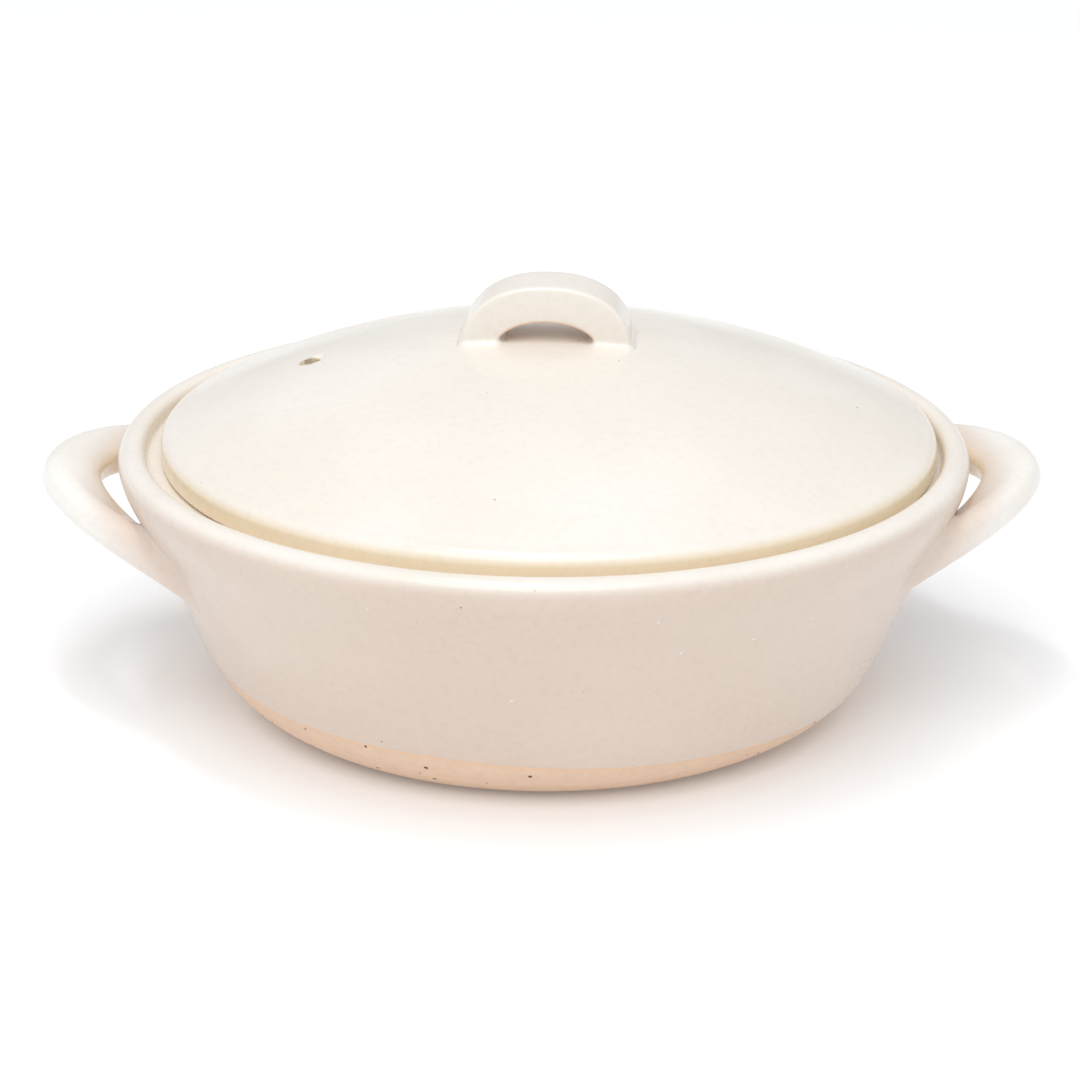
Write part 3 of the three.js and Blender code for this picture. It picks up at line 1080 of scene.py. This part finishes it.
class CASSEROLE_OT_lid_handle(bpy.types.Operator):
    """Bends the strap handle over the lid's crown."""

    bl_idname = "casserole.lid_handle"
    bl_label = "Lid handle"

    def execute(self, context):
        scene = context.scene
        look = scene.casserole_glaze
        # Painted shade under the strap: its underside turns to the clay's and the wall's darker
        # tones.
        thin = [("glaze_tone_and_shade", look.clay, look.wall)]
        glaze = glaze_material("lid_handle_glaze", look, thin, (look.cream, look.pale))
        rings = [(ring + (STRAP_X, 0, 0)) * MM for ring in lid_handle_rings()]
        strap = mesh_object("strap_handle", *closed_loft(rings))
        outward(strap)
        centre = np.array((LID_X, 0, LID_TOP_Z - DOME_R)) * MM

        def outside(points):
            away = points - centre
            distance = np.linalg.norm(away, axis=1)
            return distance - DOME_R * MM, away / distance[:, None]

        fillet_to(strap, outside, scene.casserole_lid.foot_fillet)
        # Painted shade on the faces turned downwards.
        mark(strap, "glaze_tone_and_shade", np.clip(-2.0 * normals(strap.data)[:, 2], 0, 1))
        strap.data.materials.append(glaze)
        finish_piece(strap, "cover", "lid_glaze", "lid_handle")
        return {"FINISHED"}


class CASSEROLE_OT_specks(bpy.types.Operator):
    """Scatters pale and dark specks over the glaze and pits over the bare foot."""

    bl_idname = "casserole.specks"
    bl_label = "Specks and pits"

    def execute(self, context):
        bowl, lid = bpy.data.objects["glazed_bowl"], bpy.data.objects["glazed_lid"]
        pale = speck_material("pale_speck", (0.92, 0.86, 0.79), 0.4)
        dark = speck_material("iron_speck", (0.35, 0.28, 0.22), 0.6)
        pit = speck_material("clay_pit", (0.16, 0.10, 0.07), 0.9)
        co, lean = positions(bowl.data), normals(bowl.data)
        bare = np.empty(len(co))
        bowl.data.attributes["bare_foot"].data.foreach_get("value", bare)
        wall = (lean[:, 2] < 0.6) & (np.hypot(co[:, 0], co[:, 1]) > 0.09)
        wall &= co[:, 2] > 2 * MM
        lid_co, lid_lean = positions(lid.data), normals(lid.data)
        dome = (lid_lean[:, 2] > 0.3) & (lid_co[:, 2] > 0.078)
        wall_glaze, foot = wall & (bare < -1), wall & (bare > 0.5)
        # name, source, where, material, spacing (m), density (per m2), radius (mm), seed
        jobs = (
            ("wall_specks", bowl, wall_glaze, pale, 0.005, 1100.0, 0.5, 3),
            ("wall_pinholes", bowl, wall_glaze, dark, 0.012, 600.0, 0.3, 5),
            ("foot_pits", bowl, foot, pit, 0.003, 6000.0, 0.75, 8),
            ("lid_specks", lid, dome, dark, 0.012, 500.0, 0.32, 11),
        )
        for name, source, where, material, spacing, density, radius, seed in jobs:
            values = {
                "Spacing": spacing,
                "Density": density,
                "Radius": radius * MM,
                "Flatness": 0.12,
                "Seed": seed,
                "Material": material,
            }
            specks = scattered(name, source, where.astype(float), values)
            if source is lid:
                finish_piece(specks, "cover", "lid_glaze")
            else:
                finish_piece(specks, "pot", "bowl_glaze")
        return {"FINISHED"}


# ---- the studio -----------------------------------------------------------------------------


def aimed(place, target, roll=0.0):
    """A matrix at place that looks at target down -Z, turned about its own axis by roll."""
    look = (Vector(target) - Vector(place)).to_track_quat("-Z", "Y").to_matrix().to_4x4()
    return Matrix.Translation(place) @ look @ Matrix.Rotation(roll, 4, "Z")


SUN_FROM, SUN_POWER, SUN_ANGLE = (-0.07, -0.62, 1.0), 1.45, math.radians(50)
SUN_COLOUR, SKY_COLOUR, SKY_POWER = (1.0, 0.995, 0.985), (0.97, 0.985, 1.0, 1), 0.6
STRIP_PLACE, STRIP_TARGET = (-0.15, -0.12, 1.3), (0, -0.05, 0.05)
STRIP_SIZE, STRIP_WATTS = (0.5, 0.12), 2.2
FLOOR_COLOUR, FLOOR_ROUGHNESS, FLOOR_GLOW = (0.92, 0.93, 0.945, 1), 0.8, 0.08
CAMERA_DISTANCE, CAMERA_PITCH, CAMERA_YAW = 0.95625, math.radians(18.28), -0.001
CAMERA_LOWER, CAMERA_ROLL, SENSOR = math.radians(1.94), math.radians(0.36), 36.0


def soft_light(name, place, target, size, power):
    """A rectangular light that faces its target."""
    light = bpy.data.lights.new(name, "AREA")
    light.shape = "RECTANGLE"
    light.size, light.size_y = size
    light.energy = power
    thing = bpy.data.objects.new(name, light)
    thing.matrix_world = aimed(place, target)
    bpy.context.scene.collection.objects.link(thing)


class CASSEROLE_OT_stage(bpy.types.Operator):
    """Lays the floor and sets up the lights and the camera."""

    bl_idname = "casserole.stage"
    bl_label = "Studio"

    def execute(self, context):
        scene = context.scene
        sizes = scene.casserole_stage
        self.floor(sizes.floor_size)
        self.sky(scene)
        self.camera(scene, sizes.lens)
        sun = bpy.data.lights.new("main_light", "SUN")
        sun.energy, sun.angle, sun.color = SUN_POWER, SUN_ANGLE, SUN_COLOUR
        holder = bpy.data.objects.new("main_light", sun)
        holder.rotation_euler = Vector(SUN_FROM).to_track_quat("Z", "Y").to_euler()
        scene.collection.objects.link(holder)
        soft_light("strip", STRIP_PLACE, STRIP_TARGET, STRIP_SIZE, STRIP_WATTS)
        scene.view_settings.view_transform = "Standard"
        return {"FINISHED"}

    def floor(self, size):
        half = size / 2
        corners = [(-half, -half, 0), (half, -half, 0), (half, half, 0), (-half, half, 0)]
        floor = mesh_object("floor", corners, [(0, 1, 2, 3)])
        material, _, shader = new_material("white_floor")
        shader.inputs["Base Color"].default_value = FLOOR_COLOUR
        shader.inputs["Roughness"].default_value = FLOOR_ROUGHNESS
        shader.inputs["Emission Color"].default_value = (1, 1, 1, 1)
        shader.inputs["Emission Strength"].default_value = FLOOR_GLOW
        floor.data.materials.append(material)

    def sky(self, scene):
        world = scene.world or bpy.data.worlds.new("studio")
        scene.world = world
        world.use_nodes = True
        back = world.node_tree.nodes["Background"]
        back.inputs["Color"].default_value = SKY_COLOUR
        back.inputs["Strength"].default_value = SKY_POWER

    def camera(self, scene, lens):
        back = CAMERA_DISTANCE * math.cos(CAMERA_PITCH)
        up = CAMERA_DISTANCE * math.sin(CAMERA_PITCH)
        place = Vector((0, -back, TOP_Z * MM + up))
        down = CAMERA_PITCH + CAMERA_LOWER
        ahead = Vector((CAMERA_YAW, math.cos(down), -math.sin(down)))
        data = bpy.data.cameras.new("camera")
        data.lens = lens
        data.sensor_width = SENSOR
        camera = bpy.data.objects.new("camera", data)
        camera.matrix_world = aimed(place, place + ahead, CAMERA_ROLL)
        scene.collection.objects.link(camera)
        scene.camera = camera


class CASSEROLE_PT_panel(bpy.types.Panel):
    """Lists the pieces."""

    bl_label = "Casserole"
    bl_idname = "CASSEROLE_PT_panel"
    bl_space_type = "VIEW_3D"
    bl_region_type = "UI"
    bl_category = "Casserole"

    def draw(self, context):
        column = self.layout.column()
        for operator in OPERATORS:
            column.operator(operator.bl_idname)
        for name, group in SETTINGS.items():
            box = column.box()
            settings = getattr(context.scene, name)
            for key in group.__annotations__:
                box.prop(settings, key)


SETTINGS = {
    "casserole_bowl": BowlSettings,
    "casserole_lid": LidSettings,
    "casserole_handles": HandleSettings,
    "casserole_glaze": GlazeSettings,
    "casserole_stage": StageSettings,
}
OPERATORS = (
    CASSEROLE_OT_stage,
    CASSEROLE_OT_bowl,
    CASSEROLE_OT_side_handles,
    CASSEROLE_OT_lid,
    CASSEROLE_OT_lid_handle,
    CASSEROLE_OT_specks,
)


def register():
    for kind in (*SETTINGS.values(), *OPERATORS, CASSEROLE_PT_panel):
        bpy.utils.register_class(kind)
    for name, group in SETTINGS.items():
        setattr(bpy.types.Scene, name, bpy.props.PointerProperty(type=group))


def unregister():
    for name in SETTINGS:
        delattr(bpy.types.Scene, name)
    for kind in (CASSEROLE_PT_panel, *reversed(OPERATORS), *SETTINGS.values()):
        bpy.utils.unregister_class(kind)


def main():
    register()
    bpy.ops.casserole.stage()
    bpy.ops.casserole.bowl()
    bpy.ops.casserole.side_handles()
    bpy.ops.casserole.lid()
    bpy.ops.casserole.lid_handle()
    bpy.ops.casserole.specks()


if __name__ == "__main__":
    main()
